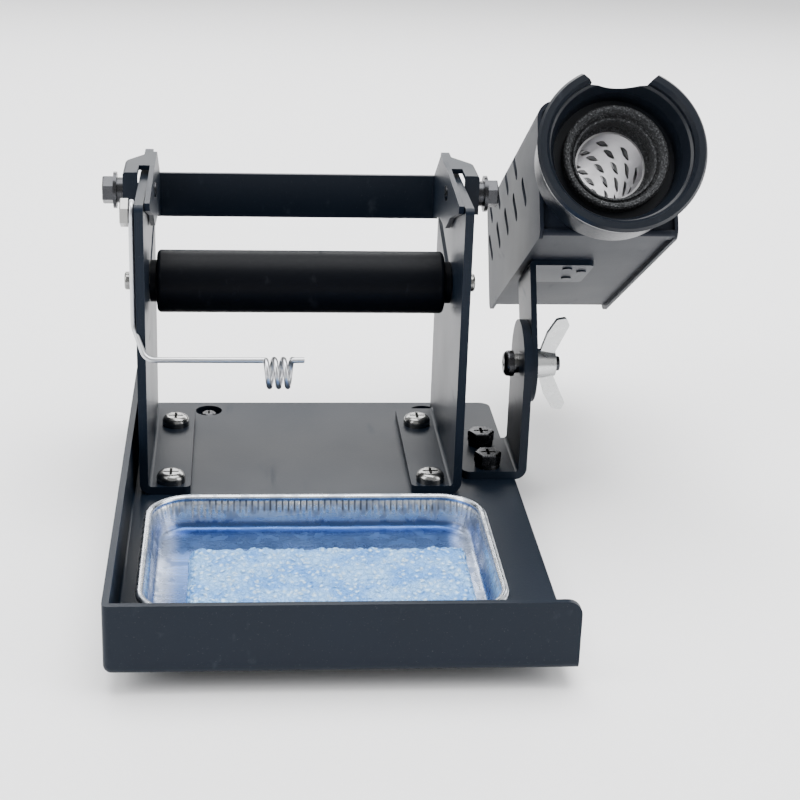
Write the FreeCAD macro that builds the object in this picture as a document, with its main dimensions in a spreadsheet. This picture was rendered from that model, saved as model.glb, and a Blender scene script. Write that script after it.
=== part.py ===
import FreeCAD, Part
import math
import os
from FreeCAD import Placement, Rotation, Vector
import Sketcher

# Bench stand for a soldering iron: a folded base with a sponge tray, two arms that carry a
# solder reel, a guide for the wire, and a tilting holder on the right.
# X runs to the right, Y to the back, Z up. The origin is on the table, under the middle of the stand.

doc = FreeCAD.newDocument("SolderingIronStand")
sheet = doc.addObject("Spreadsheet::Sheet", "Sizes")


# ---------------------------------------------------------------- driving sizes, in millimetres
# Depths called "setback" are measured from the front face of the lip.

DRIVING = [
    ("base_wide", 130), ("base_deep", 196), ("base_plate", 2), ("base_lift", 6),
    ("lip_tall", 21), ("bend_round", 2.5), ("corner_round", 4),
    ("foot_radius", 7.5), ("foot_front_side", 48), ("foot_rear_side", 39.5),
    ("foot_front_setback", 26), ("foot_rear_setback", 188),
    ("dimple_radius", 4.8), ("dimple_deep", 2.6), ("dimple_wall", 1.8),
    ("arm_plate", 2.8), ("arm_setback", 113.5), ("arm_deep", 77), ("arm_tall", 97.5),
    ("arm_foot_wide", 16.5), ("arm_foot_deep", 69.5), ("arm_bend", 4),
    ("arm_left", -60.8), ("arm_right", 45.2),
    ("arm_screw_in", 10), ("arm_screw_front", 118.5), ("arm_screw_rear", 168),
    ("slot_wide", 6.2), ("slot_slope", 17), ("slot_long", 52),
    ("axle_setback", 146), ("axle_rise", 63.2), ("axle_radius", 3), ("axle_spare", 5.4),
    ("roller_radius", 10.4), ("collar_radius", 7), ("collar_long", 2),
    ("keeper_plate", 1.6), ("keeper_setback", 150), ("keeper_rise", 93),
    ("keeper_bar_low", 73.5), ("keeper_bar_tall", 15.5), ("keeper_gap", 0.4), ("keeper_reach", 5.2),
    ("bolt_radius", 2.5), ("bolt_gap", 0.1), ("hex_flats", 8), ("hex_tall", 3.6), ("nut_tall", 4),
    ("pan_radius", 4.75), ("pan_tall", 3.4),
    ("guide_wire", 0.9), ("guide_screw_setback", 119), ("guide_screw_rise", 94), ("guide_eye", 3.3),
    ("guide_front_setback", 109.4), ("guide_run_rise", 48.6), ("guide_coil", 4.3), ("guide_pitch", 2.9),
    ("tray_left", -55.6), ("tray_right", 46.6), ("tray_front_setback", 13), ("tray_rear_setback", 88),
    ("tray_tall", 10.2), ("tray_sheet", 0.8), ("tray_corner", 11), ("tray_rim", 1.2),
    ("sponge_left", -44), ("sponge_right", 41), ("sponge_front_setback", 18.5),
    ("sponge_rear_setback", 64), ("sponge_tall", 6.4),
    ("bracket_plate", 2.8), ("bracket_wide", 30), ("bracket_inner", 47), ("bracket_face", 66),
    ("bracket_screw", 56), ("bracket_screw_apart", 19),
    ("pivot_setback", 140), ("pivot_rise", 36.5), ("holder_tilt", 30),
    ("tilt_plate", 2), ("tilt_wide", 26), ("tilt_tab", 22), ("tilt_gap", 0.15),
    ("box_wide", 44.4), ("box_tall", 44.4), ("box_long", 118), ("box_sheet", 1.2),
    ("box_front", 51.8), ("box_drop", 31.6), ("box_corner", 6), ("floor_inset", 1.6),
    ("perf_long", 13.4), ("perf_wide", 3.6), ("perf_pitch", 20), ("perf_lean", 36),
    ("ring_radius", 16.6), ("sleeve_radius", 11.2), ("sleeve_sheet", 0.6), ("sleeve_long", 86),
    ("wing_span", 33), ("wing_hub", 5.2), ("wing_hub_long", 6.4),
    ("origin_right", 20.85), ("origin_back", 19.66),
]

for row, (alias, value) in enumerate(DRIVING, start=1):
    sheet.set(f"A{row}", alias)
    sheet.set(f"B{row}", str(value))
    sheet.setAlias(f"B{row}", alias)
doc.recompute()


class Size:
    """A number kept together with the sheet formula that gives it."""

    def __init__(self, value, formula):
        self.value = value
        self.formula = formula

    def __add__(self, other):
        other = as_size(other)
        return Size(self.value + other.value, f"({self.formula} + {other.formula})")

    def __sub__(self, other):
        other = as_size(other)
        return Size(self.value - other.value, f"({self.formula} - {other.formula})")

    def __mul__(self, other):
        other = as_size(other)
        return Size(self.value * other.value, f"({self.formula} * {other.formula})")

    def __truediv__(self, other):
        other = as_size(other)
        return Size(self.value / other.value, f"({self.formula} / {other.formula})")

    def __neg__(self):
        return Size(-self.value, f"(0 - {self.formula})")

    def __radd__(self, other):
        return as_size(other) + self

    def __rsub__(self, other):
        return as_size(other) - self

    def __rmul__(self, other):
        return as_size(other) * self


def as_size(number):
    if isinstance(number, Size):
        return number
    return Size(float(number), f"{float(number):.4f}" if number >= 0 else f"(0 - {-float(number):.4f})")


def cosine(angle):
    return Size(math.cos(math.radians(angle.value)), f"cos({angle.formula} * 1 deg)")


def sine(angle):
    return Size(math.sin(math.radians(angle.value)), f"sin({angle.formula} * 1 deg)")


class Sheet:
    """Reads a driving size by its alias."""

    def __getattr__(self, alias):
        return Size(float(sheet.get(alias)), f"Sizes.{alias}")


S = Sheet()

# ---------------------------------------------------------------- places worked out from the sizes

front = -S.base_deep / 2
floor_low = S.base_lift
floor_top = S.base_lift + S.base_plate
base_right = S.base_wide / 2
base_left = -S.base_wide / 2


def back(setback):
    """Y of something that lies so far behind the front face of the lip."""
    return front + setback


def rise(height):
    """Z of something that lies so far above the floor plate."""
    return floor_top + height


arm_front = back(S.arm_setback)
arm_rear = arm_front + S.arm_deep
left_inner = S.arm_left + S.arm_plate
right_inner = S.arm_right - S.arm_plate
axle_y = back(S.axle_setback)
axle_z = rise(S.axle_rise)
keeper_y = back(S.keeper_setback)
keeper_z = rise(S.keeper_rise)
pivot_y = back(S.pivot_setback)
pivot_z = rise(S.pivot_rise)
bracket_outer = S.bracket_face + S.bracket_plate
tilt_inner = bracket_outer + S.tilt_gap
tilt_outer = tilt_inner + S.tilt_plate
box_left = S.bracket_face
box_middle = box_left + S.box_wide / 2
axis_up = S.box_drop + S.box_tall / 2

# The sizes above start from the middle of the base. The finished parts are moved together,
# so that the origin is under the middle of the whole stand, holder and bolts included.
to_origin_x = -S.origin_right
to_origin_y = -S.origin_back


# ---------------------------------------------------------------- small building helpers

def bind(thing, prop, size):
    size = as_size(size)
    thing.setExpression(prop, size.formula)


def place(thing, x, y, z, axis=None, angle=0):
    """Puts a thing at x, y, z, turned by an angle in degrees about an axis."""
    turn = Rotation() if axis is None else Rotation(axis, as_size(angle).value)
    where = Vector(as_size(x).value, as_size(y).value, as_size(z).value)
    thing.Placement = Placement(where, turn)
    bind(thing, "Placement.Base.x", x)
    bind(thing, "Placement.Base.y", y)
    bind(thing, "Placement.Base.z", z)
    if isinstance(angle, Size):
        bind(thing, "Placement.Rotation.Angle", angle)
    return thing


ALONG_X = (Vector(0, 1, 0), 90)
X_AXIS = Vector(1, 0, 0)

SAME_PLACE = 0.02

# Holes and screws: how much wider than the bolt a hole is, and the sizes of the small foot screws.
FLOOR_HOLE_SPARE = 0.25
HINGE_HOLE_SPARE = 0.05
FOOT_SHANK = 1.5
FOOT_SHANK_LONG = 4.2
FOOT_HEAD = 2.9
FOOT_HEAD_TALL = 2
FOOT_HOLE = 1.7
GUIDE_SHANK = 2
GUIDE_HEAD_TALL = 2.6
BOLT_BEYOND_NUT = 0.4
SPRING_WASHER_TALL = 1.5
RECESS_LONG = 5
RECESS_WIDE = 1
RECESS_DEEP = 1.4


def cylinder(name, radius, length, x, y, z, turn=(None, 0)):
    thing = doc.addObject("Part::Cylinder", name)
    bind(thing, "Radius", radius)
    bind(thing, "Height", length)
    return place(thing, x, y, z, *turn)


def box(name, long, wide, tall, x, y, z, turn=(None, 0)):
    thing = doc.addObject("Part::Box", name)
    bind(thing, "Length", long)
    bind(thing, "Width", wide)
    bind(thing, "Height", tall)
    return place(thing, x, y, z, *turn)


def hexagon(name, flats, length, x, y, z, turn=(None, 0)):
    thing = doc.addObject("Part::Prism", name)
    thing.Polygon = 6
    bind(thing, "Circumradius", as_size(flats) / 3 ** 0.5)
    bind(thing, "Height", length)
    return place(thing, x, y, z, *turn)


def cut(name, body, *tools):
    for number, tool in enumerate(tools, start=1):
        step = doc.addObject("Part::Cut", name if number == len(tools) else f"{name}_step{number}")
        step.Base = body
        step.Tool = tool
        body = step
    return body


def fuse(name, *pieces):
    thing = doc.addObject("Part::MultiFuse", name)
    thing.Shapes = list(pieces)
    return thing


def group(name, pieces):
    thing = doc.addObject("Part::Compound", name)
    thing.Links = pieces
    return thing


def soften(name, body, radius, wanted):
    """Rounds the edges of a boolean that the test picks out."""
    doc.recompute()
    thing = doc.addObject("Part::Fillet", name)
    thing.Base = body
    edges = [i for i, edge in enumerate(body.Shape.Edges, start=1) if wanted(edge)]
    thing.Edges = [(i, as_size(radius).value, as_size(radius).value) for i in edges]
    return thing


nodes = []


def node(label, thing):
    """Names a finished sub-part, which becomes one file."""
    thing.Label = label
    if thing.Placement.isIdentity():
        place(thing, to_origin_x, to_origin_y, 0)
    nodes.append(thing)
    return thing


# ---------------------------------------------------------------- Part Design helpers

def new_body(name):
    return doc.addObject("PartDesign::Body", name)


def origin_part(body, role):
    return next(item for item in body.Origin.OriginFeatures if item.Role == role)


def sketch_on(body, name, role, offset=0, shift=(0, 0), turn=0):
    """A sketch on one of the body's own planes, moved along its normal and within the plane."""
    sketch = body.newObject("Sketcher::SketchObject", name)
    sketch.AttachmentSupport = [(origin_part(body, role), "")]
    sketch.MapMode = "FlatFace"
    sketch.AttachmentOffset = Placement(Vector(0, 0, 0), Rotation(Vector(0, 0, 1), as_size(turn).value))
    bind(sketch, "AttachmentOffset.Base.x", shift[0])
    bind(sketch, "AttachmentOffset.Base.y", shift[1])
    bind(sketch, "AttachmentOffset.Base.z", offset)
    return sketch


def pin_down(sketch, kind, index, vertex, size):
    """Fixes one coordinate of a point from the sketch's own origin."""
    number = sketch.addConstraint(Sketcher.Constraint(kind, -1, 1, index, vertex, as_size(size).value))
    bind(sketch, f"Constraints[{number}]", size)


def outline(sketch, points):
    """A closed outline of straight lines, every corner fixed by the sheet."""
    first = sketch.GeometryCount
    corners = [Vector(as_size(a).value, as_size(b).value, 0) for a, b in points]
    for start, end in zip(corners, corners[1:] + corners[:1]):
        sketch.addGeometry(Part.LineSegment(start, end), False)
    for i, (a, b) in enumerate(points):
        following = first + (i + 1) % len(points)
        sketch.addConstraint(Sketcher.Constraint("Coincident", first + i, 2, following, 1))
        pin_down(sketch, "DistanceX", first + i, 1, a)
        pin_down(sketch, "DistanceY", first + i, 1, b)
    return sketch


def circle(sketch, radius, a=0, b=0):
    centre = Vector(as_size(a).value, as_size(b).value, 0)
    index = sketch.addGeometry(Part.Circle(centre, Vector(0, 0, 1), as_size(radius).value), False)
    number = sketch.addConstraint(Sketcher.Constraint("Radius", index, as_size(radius).value))
    bind(sketch, f"Constraints[{number}]", radius)
    pin_down(sketch, "DistanceX", index, 3, a)
    pin_down(sketch, "DistanceY", index, 3, b)
    return sketch


def stadium(sketch, long, wide):
    """A slot with round ends, centred on the sketch's origin and lying along its x axis."""
    half = (as_size(long) - wide) / 2
    radius = as_size(wide) / 2
    reach = half.value
    round_end = radius.value
    up = Vector(0, 0, 1)
    quarter = math.pi / 2
    right = sketch.addGeometry(
        Part.ArcOfCircle(Part.Circle(Vector(reach, 0, 0), up, round_end), -quarter, quarter), False)
    left = sketch.addGeometry(
        Part.ArcOfCircle(Part.Circle(Vector(-reach, 0, 0), up, round_end), quarter, 3 * quarter), False)
    top = sketch.addGeometry(
        Part.LineSegment(Vector(reach, round_end, 0), Vector(-reach, round_end, 0)), False)
    low = sketch.addGeometry(
        Part.LineSegment(Vector(-reach, -round_end, 0), Vector(reach, -round_end, 0)), False)
    runs = (right, top, left, low)
    for one, other in zip(runs, runs[1:] + runs[:1]):
        sketch.addConstraint(Sketcher.Constraint("Tangent", one, 2, other, 1))
    pin_down(sketch, "DistanceX", right, 3, half)
    pin_down(sketch, "DistanceY", right, 3, 0)
    pin_down(sketch, "DistanceX", left, 3, -half)
    number = sketch.addConstraint(Sketcher.Constraint("Radius", right, round_end))
    bind(sketch, f"Constraints[{number}]", radius)
    sketch.addConstraint(Sketcher.Constraint("Horizontal", top))
    return sketch


def pad(body, name, sketch, length, both=False):
    feature = body.newObject("PartDesign::Pad", name)
    feature.Profile = sketch
    feature.Midplane = both
    bind(feature, "Length", length)
    body.Tip = feature
    return feature


def pocket(body, name, sketch, depth=None, reverse=False, both=False):
    feature = body.newObject("PartDesign::Pocket", name)
    feature.Profile = sketch
    feature.Reversed = reverse
    feature.Midplane = both
    if depth is None:
        feature.Type = "ThroughAll"
    else:
        bind(feature, "Length", depth)
    body.Tip = feature
    return feature


def row_of(body, name, feature, role, length, count, reverse=False):
    pattern = body.newObject("PartDesign::LinearPattern", name)
    pattern.Originals = [feature]
    pattern.Direction = (origin_part(body, role), [""])
    pattern.Reversed = reverse
    bind(pattern, "Length", length)
    pattern.Occurrences = count
    body.Tip = pattern
    return pattern


def round_off(body, name, radius, wanted):
    """Fillets the edges of the body's last feature that the test picks out."""
    doc.recompute()
    base = body.Tip
    feature = body.newObject("PartDesign::Fillet", name)
    picked = [f"Edge{i}" for i, edge in enumerate(base.Shape.Edges, start=1) if wanted(edge)]
    feature.Base = (base, picked)
    bind(feature, "Radius", radius)
    body.Tip = feature
    return feature


def lies(edge, **where):
    """True when the whole edge lies at the given x, y or z."""
    around = edge.BoundBox
    spans = {"x": (around.XMin, around.XMax), "y": (around.YMin, around.YMax),
             "z": (around.ZMin, around.ZMax)}
    return all(abs(end - as_size(value).value) < SAME_PLACE
               for axis, value in where.items() for end in spans[axis])


# ---------------------------------------------------------------- base

def make_base():
    body = new_body("BaseTray")
    blank = outline(sketch_on(body, "BasePlan", "XY_Plane", floor_low),
                    [(base_left, front), (base_right, front), (base_right, -front), (base_left, -front)])
    pad(body, "BaseBlank", blank, S.lip_tall)
    beyond = 5
    inner_left = base_left + S.base_plate
    inner_front = front + S.base_plate
    hollow = outline(sketch_on(body, "BaseHollow", "XY_Plane", floor_top),
                     [(inner_left, inner_front), (base_right + beyond, inner_front),
                      (base_right + beyond, beyond - front), (inner_left, beyond - front)])
    pocket(body, "BaseInside", hollow, S.lip_tall, reverse=True)
    bosses = sketch_on(body, "BossPlan", "XY_Plane", floor_low - S.dimple_deep)
    dimples = sketch_on(body, "DimplePlan", "XY_Plane", floor_top - S.dimple_deep)
    screw_holes = sketch_on(body, "FootScrewPlan", "XY_Plane", 0)
    for x, y in foot_places():
        circle(bosses, S.dimple_radius + S.dimple_wall, x, y)
        circle(dimples, S.dimple_radius, x, y)
        circle(screw_holes, FOOT_HOLE, x, y)
    pad(body, "Bosses", bosses, S.dimple_deep)
    pocket(body, "Dimples", dimples, S.dimple_deep, reverse=True)
    pocket(body, "FootScrewHoles", screw_holes, reverse=True)
    bolts = sketch_on(body, "FloorBoltPlan", "XY_Plane", 0)
    for x, y in arm_screw_places() + bracket_screw_places():
        circle(bolts, S.bolt_radius + FLOOR_HOLE_SPARE, x, y)
    pocket(body, "FloorBoltHoles", bolts, reverse=True)
    round_off(body, "BaseBends", S.bend_round,
              lambda e: lies(e, y=front, z=floor_low) or lies(e, x=base_left, z=floor_low))
    lip_top = floor_low + S.lip_tall
    round_off(body, "BaseCorners", S.corner_round,
              lambda e: lies(e, x=base_right, z=lip_top) or lies(e, x=base_right, y=-front)
              or lies(e, y=-front, z=lip_top))
    round_off(body, "LipCorner", 2,
              lambda e: lies(e, x=base_left, y=front) and e.BoundBox.ZLength > 10)
    round_off(body, "InnerBends", 0.8,
              lambda e: lies(e, y=inner_front, z=floor_top) or lies(e, x=inner_left, z=floor_top))
    return node("base_tray", body)


def foot_places():
    pairs = ((S.foot_front_side, S.foot_front_setback), (S.foot_rear_side, S.foot_rear_setback))
    return [(side * where, back(setback)) for where, setback in pairs for side in (-1, 1)]


def arm_screw_places():
    return [(x, back(setback))
            for x in (S.arm_left + S.arm_screw_in, S.arm_right - S.arm_screw_in)
            for setback in (S.arm_screw_front, S.arm_screw_rear)]


def bracket_screw_places():
    half = S.bracket_screw_apart / 2
    return [(S.bracket_screw, pivot_y - half), (S.bracket_screw, pivot_y + half)]


def make_feet():
    boss = S.dimple_radius + S.dimple_wall
    feet = []
    screws = []
    for number, (x, y) in enumerate(foot_places(), start=1):
        body = cylinder(f"FootBody{number}", S.foot_radius, S.base_lift, x, y, 0)
        seat = cylinder(f"FootSeat{number}", boss, S.dimple_deep + 1, x, y, floor_low - S.dimple_deep)
        bore = cylinder(f"FootBore{number}", FOOT_SHANK, S.base_lift, x, y, 1)
        shaped = cut(f"FootCut{number}", body, seat, bore)
        low = as_size(0)
        feet.append(soften(f"Foot{number}", shaped, 1.2, lambda e: lies(e, z=low) and e.Curve.Radius > 3))
        head_low = floor_top - S.dimple_deep
        screws.append(pan_screw(f"FootScrew{number}", x, y, head_low,
                                FOOT_HEAD, FOOT_HEAD_TALL, FOOT_SHANK, FOOT_SHANK_LONG))
    node("rubber_feet", group("Feet", feet))
    node("foot_screws", group("FootScrews", screws))


# ---------------------------------------------------------------- screws and nuts

def pan_screw(name, x, y, seat, head, tall, shank, length):
    """A cross-recessed pan-head screw that points down from its seat."""
    dome = soften(f"{name}Dome", cylinder(f"{name}Head", head, tall, x, y, seat), as_size(tall) * 0.6,
                  lambda e: lies(e, z=as_size(seat) + tall) and e.BoundBox.XLength > 1)
    slot = as_size(head) * 1.1
    thin = as_size(head) * 0.2
    bottom = as_size(seat) + as_size(tall) * 0.45
    slots = [box(f"{name}Slot{side}", long, wide, tall, x - long / 2, y - wide / 2, bottom)
             for side, long, wide in (("A", slot, thin), ("B", thin, slot))]
    recessed = cut(f"{name}Recessed", dome, *slots)
    stem = cylinder(f"{name}Stem", shank, length, x, y, as_size(seat) - length)
    return fuse(name, recessed, stem)


def make_floor_screws():
    foot_top = floor_top + S.arm_plate
    reach = S.arm_plate + S.base_plate + S.nut_tall + BOLT_BEYOND_NUT
    screws = [pan_screw(f"ArmScrew{n}", x, y, foot_top, S.pan_radius, S.pan_tall, S.bolt_radius, reach)
              for n, (x, y) in enumerate(arm_screw_places(), start=1)]
    node("arm_screws", group("ArmScrews", screws))
    bolts = []
    washers = []
    foot = floor_top + S.bracket_plate
    head_low = foot + SPRING_WASHER_TALL
    head_top = head_low + S.hex_tall
    length = SPRING_WASHER_TALL + S.bracket_plate + S.base_plate + S.nut_tall + BOLT_BEYOND_NUT
    for n, (x, y) in enumerate(bracket_screw_places(), start=1):
        split_at = n * 70
        washers.append(spring_washer(f"BracketWasher{n}", S.bolt_radius + 0.1, 4.3, SPRING_WASHER_TALL,
                                     x, y, foot, (None, 0), split_at))
        head = hexagon(f"BracketBoltHead{n}", S.hex_flats, S.hex_tall, x, y, head_low)
        crown = soften(f"BracketBoltCrown{n}", head, 0.5, lambda e: lies(e, z=head_top))
        slots = [box(f"BracketBoltSlot{n}{side}", long, wide, 2,
                     x - long / 2, y - wide / 2, head_top - RECESS_DEEP)
                 for side, long, wide in (("A", RECESS_LONG, RECESS_WIDE), ("B", RECESS_WIDE, RECESS_LONG))]
        recessed = cut(f"BracketBoltTop{n}", crown, *slots)
        stem = cylinder(f"BracketBoltStem{n}", S.bolt_radius, length, x, y, head_low - length)
        bolts.append(fuse(f"BracketBolt{n}", recessed, stem))
    node("bracket_bolts", group("BracketBolts", bolts))
    node("bracket_spring_washers", group("BracketWashers", washers))
    nuts = [hex_nut(f"FloorNut{n}", x, y, floor_low - S.nut_tall, (None, 0))
            for n, (x, y) in enumerate(arm_screw_places() + bracket_screw_places(), start=1)]
    node("floor_nuts", group("FloorNuts", nuts))


def hex_nut(name, x, y, z, turn):
    body = hexagon(f"{name}Body", S.hex_flats, S.nut_tall, x, y, z, turn)
    bore = cylinder(f"{name}Bore", S.bolt_radius, S.nut_tall, x, y, z, turn)
    return cut(name, body, bore)


def spring_washer(name, bore, rim, tall, x, y, z, turn, split_at):
    """A split ring with its ends slightly apart."""
    gap_wide = 0.7
    disc = cylinder(f"{name}Rim", rim, tall, 0, 0, 0)
    hole = cylinder(f"{name}Hole", bore, tall, 0, 0, 0)
    ring = cut(f"{name}Ring", disc, hole)
    gap = box(f"{name}Gap", rim, gap_wide, tall, 0, -gap_wide / 2, 0)
    gap.Placement = Placement(Vector(0, 0, 0), Rotation(Vector(0, 0, 1), split_at)).multiply(gap.Placement)
    split = cut(name, ring, gap)
    return place(split, x, y, z, *turn)


# ---------------------------------------------------------------- arms

def make_arm(label, inner_x, outer_x, inward):
    """One reel arm: an upright plate with a slanted slot and a foot folded inwards."""
    body = new_body(label.title().replace("_", ""))
    low_x = inner_x if inner_x.value < outer_x.value else outer_x
    plate = outline(sketch_on(body, "Side", "YZ_Plane", low_x),
                    [(arm_front, floor_top), (arm_rear, floor_top),
                     (arm_rear, rise(S.arm_tall)), (arm_front, rise(S.arm_tall))])
    pad(body, "Upright", plate, S.arm_plate)
    foot_end = outer_x + inward * S.arm_foot_wide
    foot = outline(sketch_on(body, "FootPlan", "XY_Plane", floor_top),
                   [(outer_x, arm_front), (foot_end, arm_front),
                    (foot_end, arm_front + S.arm_foot_deep), (outer_x, arm_front + S.arm_foot_deep)])
    pad(body, "Foot", foot, S.arm_plate)
    round_off(body, "OuterBend", S.arm_bend,
              lambda e: lies(e, x=outer_x, z=floor_top) and e.BoundBox.YLength > 60)
    round_off(body, "InnerBend", S.arm_bend - S.arm_plate,
              lambda e: lies(e, x=inner_x, z=floor_top + S.arm_plate))
    slot = sketch_on(body, "SlotSide", "YZ_Plane", low_x, (axle_y, axle_z), S.slot_slope)
    outline(slot, [(0, -S.slot_wide / 2), (S.slot_long, -S.slot_wide / 2),
                   (S.slot_long, S.slot_wide / 2), (0, S.slot_wide / 2)])
    pocket(body, "Slot", slot, S.arm_plate, reverse=True)
    seat = circle(sketch_on(body, "SeatSide", "YZ_Plane", low_x), S.slot_wide / 2, axle_y, axle_z)
    pocket(body, "SlotSeat", seat, S.arm_plate, reverse=True)
    bolt = circle(sketch_on(body, "KeeperBoltSide", "YZ_Plane", low_x),
                  S.bolt_radius + HINGE_HOLE_SPARE, keeper_y, keeper_z)
    pocket(body, "KeeperBoltHole", bolt, S.arm_plate, reverse=True)
    if inward > 0:
        screw = circle(sketch_on(body, "GuideScrewSide", "YZ_Plane", low_x), GUIDE_SHANK + 0.02,
                       back(S.guide_screw_setback), rise(S.guide_screw_rise))
        pocket(body, "GuideScrewHole", screw, S.arm_plate, reverse=True)
    screws = sketch_on(body, "ScrewPlan", "XY_Plane", floor_top)
    for x, y in arm_screw_places():
        if abs(x.value - outer_x.value) < S.arm_foot_wide.value:
            circle(screws, S.bolt_radius + FLOOR_HOLE_SPARE, x, y)
    pocket(body, "ScrewHoles", screws, S.arm_plate, reverse=True)
    top = rise(S.arm_tall)
    foot_rear = arm_front + S.arm_foot_deep
    round_off(body, "Corners", 2,
              lambda e: lies(e, z=top, y=arm_front) or lies(e, z=top, y=arm_rear)
              or lies(e, x=foot_end, y=arm_front) or lies(e, x=foot_end, y=foot_rear))
    return node(label, body)


# ---------------------------------------------------------------- reel keeper

def make_keeper():
    """A bar across the back of the arms, folded over both arm tops and hinged on two bolts."""
    body = new_body("ReelKeeper")
    bar_low = rise(S.keeper_bar_low)
    bar_top = bar_low + S.keeper_bar_tall
    bar_back = arm_rear - 0.5
    left_face = left_inner + S.keeper_gap
    right_face = right_inner - S.keeper_gap
    bridge_low = keeper_z + 6
    bridge_top = bridge_low + S.keeper_plate
    bar = outline(sketch_on(body, "BarFace", "XZ_Plane", S.keeper_plate - bar_back),
                  [(left_face, bar_low), (right_face, bar_low), (right_face, bar_top), (left_face, bar_top)])
    pad(body, "Bar", bar, S.keeper_plate).Reversed = True
    cheek = [(bar_back, bar_low), (bar_back, bar_top),
             (keeper_y + 22, bridge_top), (keeper_y + 3, bridge_top),
             (keeper_y - 22, bridge_top - 1.4), (arm_front + 1.2, bridge_top - 2.4),
             (arm_front + 2.5, bridge_top - 5.2), (keeper_y - 12, keeper_z - 5), (keeper_y, keeper_z - 12),
             (keeper_y + 19, keeper_z - 13.6)]
    leg_front = keeper_y - 6.5
    leg_low = keeper_z - 5.5
    ends = (("Left", left_face, S.arm_left, -1), ("Right", right_face, S.arm_right, 1))
    for side, face, outer, out in ends:
        low_x = face if out < 0 else face - S.keeper_plate
        pad(body, f"{side}Cheek", outline(sketch_on(body, f"{side}CheekSide", "YZ_Plane", low_x), cheek),
            S.keeper_plate)
        far = outer + out * S.keeper_reach
        near = far - out * S.keeper_plate
        bridge = [(face, keeper_y + 3), (far, keeper_y + 3), (far, keeper_y + 9), (face, keeper_y + 22)]
        bridge_plan = sketch_on(body, f"{side}BridgePlan", "XY_Plane", bridge_low)
        pad(body, f"{side}Bridge", outline(bridge_plan, bridge), S.keeper_plate)
        clear = outer + out * S.keeper_gap
        leg = [(leg_front, leg_low), (keeper_y + 6, leg_low),
               (keeper_y + 9, bridge_top), (leg_front, bridge_top)]
        leg_x = near if out > 0 else far
        pad(body, f"{side}Leg", outline(sketch_on(body, f"{side}LegSide", "YZ_Plane", leg_x), leg),
            S.keeper_plate)
        cap = [(far, leg_front), (clear, leg_front), (clear, keeper_y + 3.5), (far, keeper_y + 3.5)]
        pad(body, f"{side}Cap", outline(sketch_on(body, f"{side}CapPlan", "XY_Plane", bridge_low), cap),
            S.keeper_plate)
        web = [(far, leg_low), (clear, leg_low), (clear, bridge_top), (far, bridge_top)]
        pad(body, f"{side}Web", outline(sketch_on(body, f"{side}WebFace", "XZ_Plane", -leg_front), web),
            S.keeper_plate).Reversed = True
    hole = circle(sketch_on(body, "HingeSide", "YZ_Plane", 0),
                  S.bolt_radius + S.bolt_gap, keeper_y, keeper_z)
    feature = pocket(body, "HingeHoles", hole, both=True)
    feature.Type = "ThroughAll"
    round_off(body, "BarBends", 1.2,
              lambda e: (lies(e, y=bar_back) and e.BoundBox.ZLength > 10
                         and (lies(e, x=left_face) or lies(e, x=right_face))))
    round_off(body, "BridgeBends", 1.1,
              lambda e: lies(e, z=bridge_top) and (lies(e, x=S.arm_left - S.keeper_reach)
                                                   or lies(e, x=S.arm_right + S.keeper_reach)))
    return node("reel_keeper", body)


def make_keeper_fasteners():
    spring_tall = 2.0
    disc = 1.1
    bolts = []
    springs = []
    discs = []
    ends = (("Left", S.arm_left, left_inner, -1), ("Right", S.arm_right, right_inner, 1))
    for side, outer, inner, out in ends:
        leg = outer + out * (S.keeper_reach + 0.2)
        spring_end = leg + out * spring_tall
        disc_end = spring_end + out * disc
        head_end = disc_end + out * S.hex_tall
        tip = inner - out * (S.keeper_gap + S.keeper_plate + 0.5)
        low = {"spring": min_of(leg, spring_end), "disc": min_of(spring_end, disc_end),
               "head": min_of(disc_end, head_end), "stem": min_of(tip, disc_end)}
        springs.append(spring_washer(f"KeeperSpring{side}", S.bolt_radius + 0.1, 4.2, spring_tall,
                                     low["spring"], keeper_y, keeper_z, ALONG_X, 40))
        ring = cylinder(f"KeeperDisc{side}Rim", 6, disc, low["disc"], keeper_y, keeper_z, ALONG_X)
        hole = cylinder(f"KeeperDisc{side}Hole", S.bolt_radius + 0.1, disc, low["disc"],
                        keeper_y, keeper_z, ALONG_X)
        discs.append(cut(f"KeeperDisc{side}", ring, hole))
        head = hexagon(f"KeeperHead{side}", S.hex_flats, S.hex_tall, low["head"],
                       keeper_y, keeper_z, ALONG_X)
        crown = soften(f"KeeperCrown{side}", head, 0.45, lambda e: lies(e, x=head_end))
        stem = cylinder(f"KeeperStem{side}", S.bolt_radius, (disc_end - tip) * out, low["stem"],
                        keeper_y, keeper_z, ALONG_X)
        bolts.append(fuse(f"KeeperBolt{side}", crown, stem))
    node("keeper_bolts", group("KeeperBolts", bolts))
    node("keeper_springs", group("KeeperSprings", springs))
    node("keeper_washers", group("KeeperDiscs", discs))


def min_of(one, other):
    return one if one.value <= other.value else other


# ---------------------------------------------------------------- reel spindle

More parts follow.
